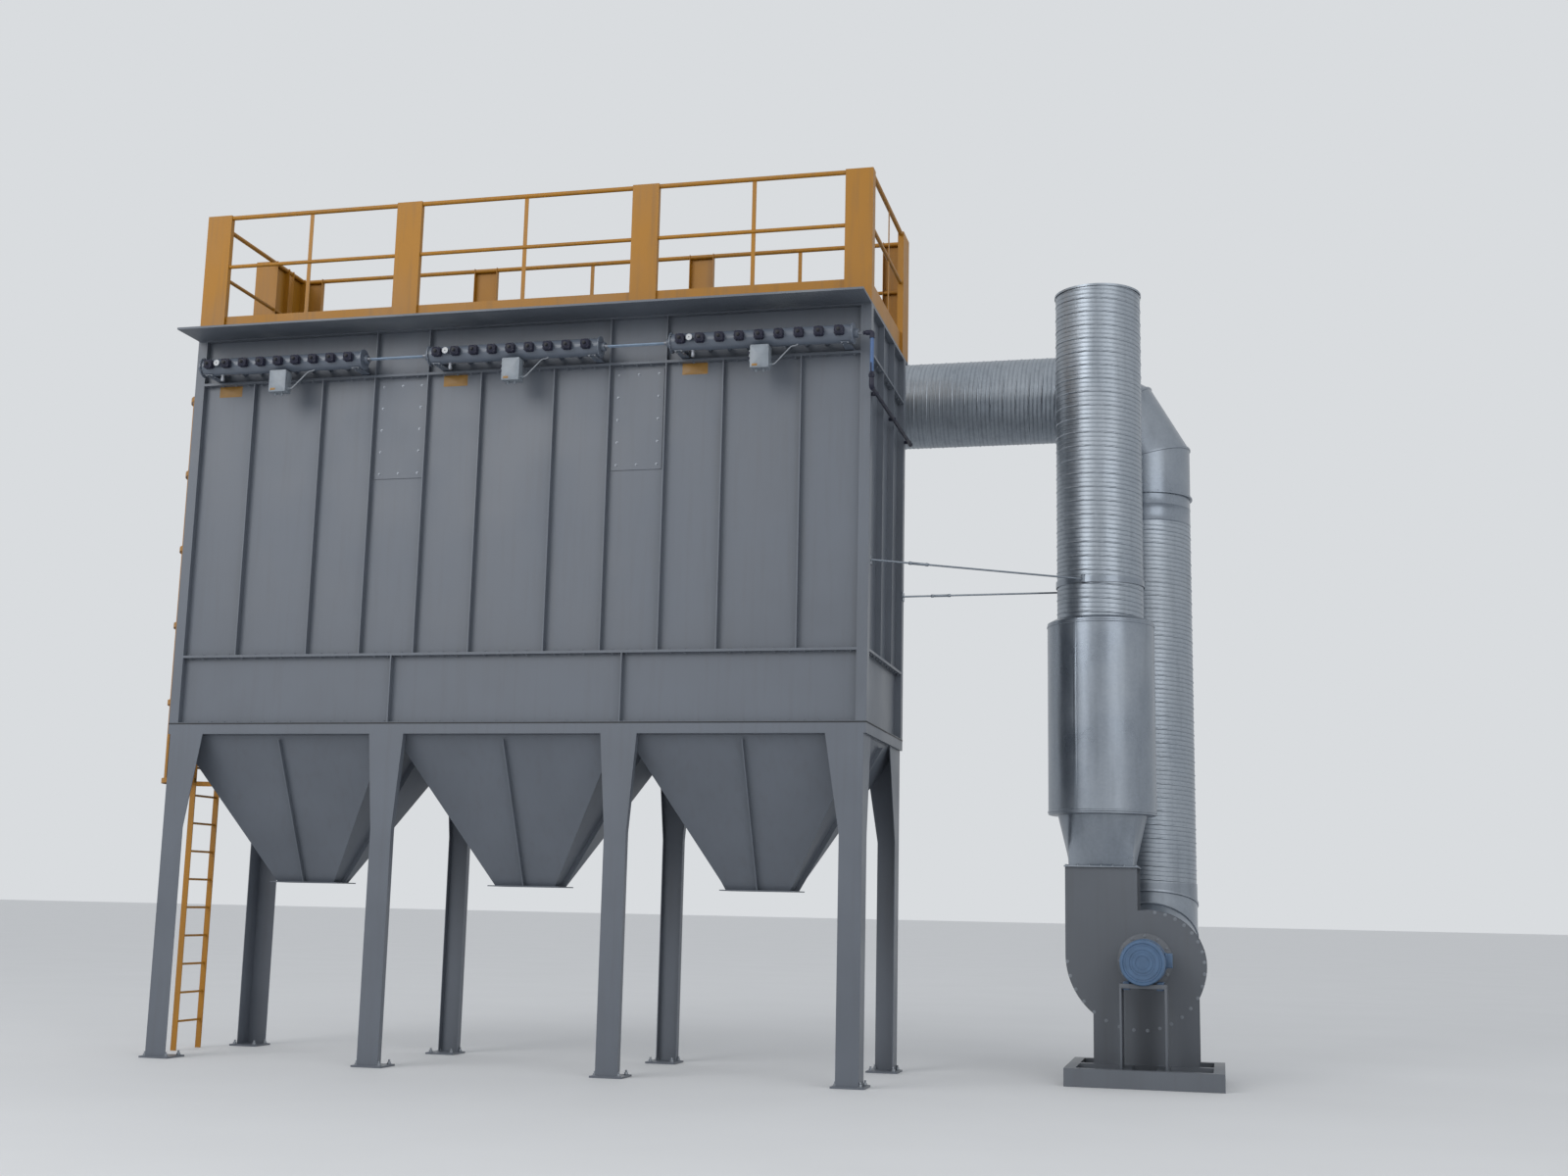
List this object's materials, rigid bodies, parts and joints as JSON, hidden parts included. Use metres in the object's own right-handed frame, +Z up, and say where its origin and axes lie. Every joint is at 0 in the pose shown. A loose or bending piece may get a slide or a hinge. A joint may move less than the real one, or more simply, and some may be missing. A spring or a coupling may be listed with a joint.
{
  "type": "bag filter dust collector",
  "caption": "Reverse-jet bag filter on legs with pyramid hoppers, guarded roof, caged ladder, air headers, exhaust fan, silencer and stack.",
  "frame": {"origin": "under the front left corner of the casing, on the ground, on the front left leg's base plate", "axes": "+X right along the front, +Y to the rear, +Z up"},
  "size_m": [10.5986, 4.185, 8.375],
  "materials": {
    "casing_paint": "satin grey polyester paint",
    "safety_yellow_paint": "gloss orange-yellow paint",
    "header_paint": "light grey paint",
    "valve_black": "black cast and moulded",
    "box_paint": "pale grey moulded",
    "galvanised_sheet": "bright galvanised sheet",
    "fan_paint": "satin grey paint",
    "motor_paint": "blue-grey enamel on cast iron"
  },
  "bodies": {
    "root": {"base_frame": "casing_paint", "leg_front_1": "casing_paint", "leg_front_2": "casing_paint", "leg_front_3": "casing_paint", "leg_front_4": "casing_paint", "leg_rear_1": "casing_paint", "leg_rear_2": "casing_paint", "leg_rear_3": "casing_paint", "leg_rear_4": "casing_paint", "hopper_1": "casing_paint", "hopper_2": "casing_paint", "hopper_3": "casing_paint", "lower_casing": "casing_paint", "wall_front": "casing_paint", "wall_rear": "casing_paint", "wall_left": "casing_paint", "wall_right": "casing_paint", "access_covers": "casing_paint", "head_casing": "casing_paint", "roof_deck": "casing_paint", "air_header_1": "header_paint", "air_header_2": "header_paint", "air_header_3": "header_paint", "pulse_valves_1": "valve_black", "pulse_valves_2": "valve_black", "pulse_valves_3": "valve_black", "pilot_box_1": "box_paint", "pilot_box_2": "box_paint", "pilot_box_3": "box_paint", "air_line": "valve_black", "guardrail_front": "safety_yellow_paint", "guardrail_rear": "safety_yellow_paint", "guardrail_left": "safety_yellow_paint", "guardrail_right": "safety_yellow_paint", "ladder": "safety_yellow_paint", "ladder_cage": "safety_yellow_paint", "inlet_spigots": "casing_paint", "outlet_manifold": "galvanised_sheet", "duct_bend": "galvanised_sheet", "drop_duct": "galvanised_sheet", "inlet_bend": "galvanised_sheet", "fan_casing": "fan_paint", "fan_motor": "motor_paint", "fan_base": "fan_paint", "silencer": "galvanised_sheet", "stack": "galvanised_sheet", "stack_stays": "galvanised_sheet"}
  },
  "joints": []
}
